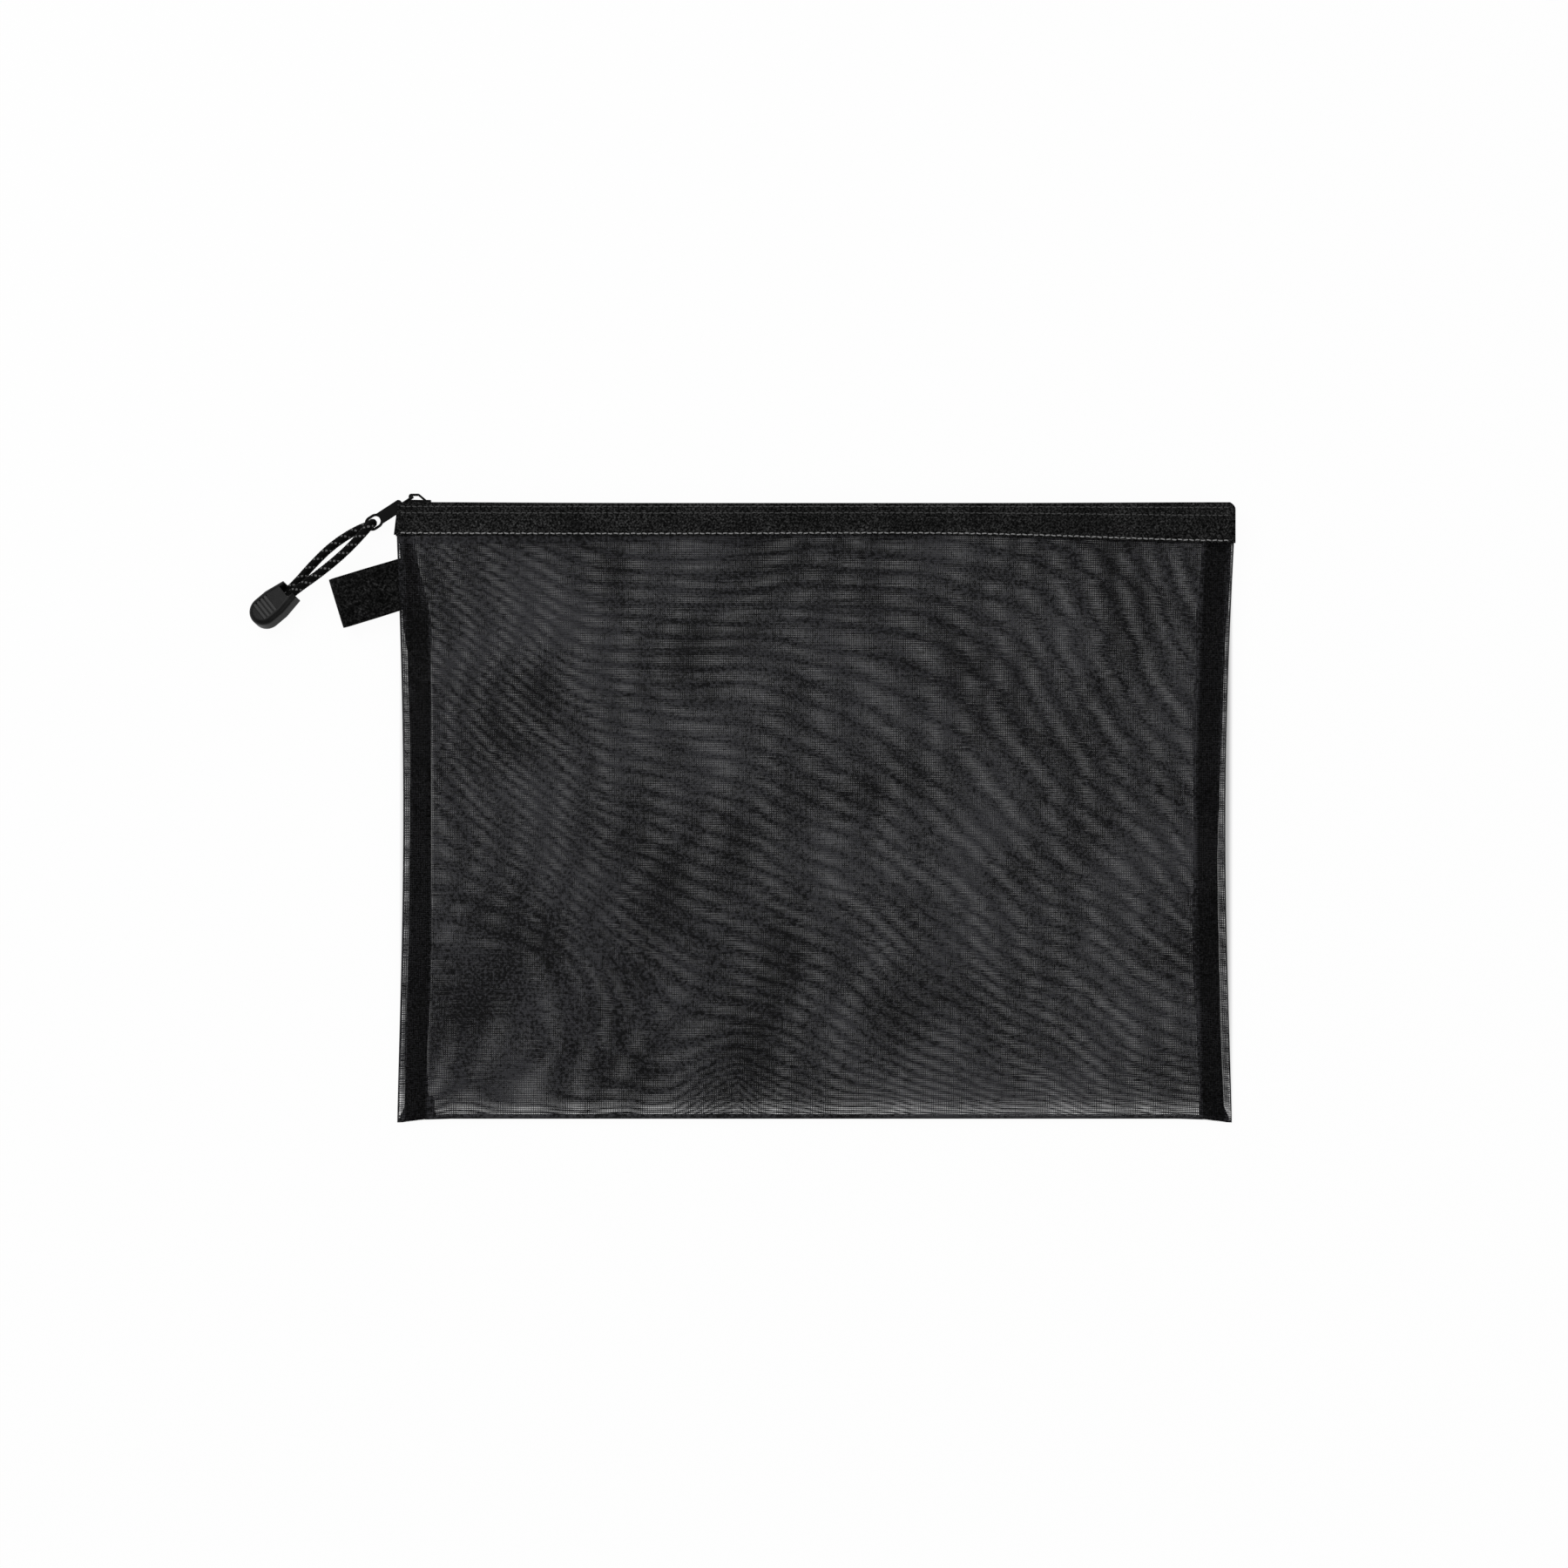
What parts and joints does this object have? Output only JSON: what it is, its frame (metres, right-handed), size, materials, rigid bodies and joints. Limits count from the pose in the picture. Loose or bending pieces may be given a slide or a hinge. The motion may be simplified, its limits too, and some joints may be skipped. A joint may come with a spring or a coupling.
{
  "type": "zipped mesh document wallet",
  "caption": "Flat document wallet of open nylon mesh, folded at the bottom and bound at the sides, closed by a zip with a corded pull and a webbing loop.",
  "frame": {"origin": "middle of the flat back face, on the surface that the wallet lies on", "axes": "+X along the zip from the closed to the open end of the slider's travel, +Y from the bottom fold to the zip, +Z out of the front face"},
  "size_m": [0.3944, 0.2508, 0.0111],
  "materials": {
    "mesh": "open black nylon mesh",
    "binding": "black woven binding tape",
    "zip_tape": "black woven polyester tape",
    "zip_teeth": "black nylon monofilament",
    "slider_metal": "black satin paint on zinc",
    "cord": "black braided nylon cord",
    "cord_end": "black satin moulded plastic",
    "webbing": "black woven webbing"
  },
  "bodies": {
    "pouch": {"mesh_body": "mesh", "left_binding": "binding", "right_binding": "binding", "front_zip_tape": "zip_tape", "back_zip_tape": "zip_tape", "front_coil": "zip_teeth", "back_coil": "zip_teeth", "side_loop": "webbing"},
    "slider": {"slider_body": "slider_metal"},
    "pull": {"pull_tab": "slider_metal"},
    "cord_pull": {"pull_cord": "cord", "cord_end_upper": "cord_end", "cord_end_lower": "cord_end"}
  },
  "joints": [
    {"name": "slider_slide", "type": "slide", "parent": "pouch", "child": "slider", "axis": [1, 0, 0], "range_m": [0, 0.3], "deforming": ["front_coil", "back_coil", "front_zip_tape", "back_zip_tape"]},
    {"name": "pull_swing", "type": "hinge", "parent": "slider", "child": "pull", "pos_m": [-0.1617, 0.12585, 0.0053], "axis": [0, 0, 1], "range_deg": [-200.5, 0.5]},
    {"name": "cord_swing", "type": "hinge", "parent": "pull", "child": "cord_pull", "pos_m": [-0.17763, 0.1155, 0.0053], "axis": [0, 0, 1], "range_deg": [-40, 4]}
  ],
  "couplings": [
    {"joint": "pull_swing", "follows": "slider_slide", "rad_per_m": -11.636}
  ]
}
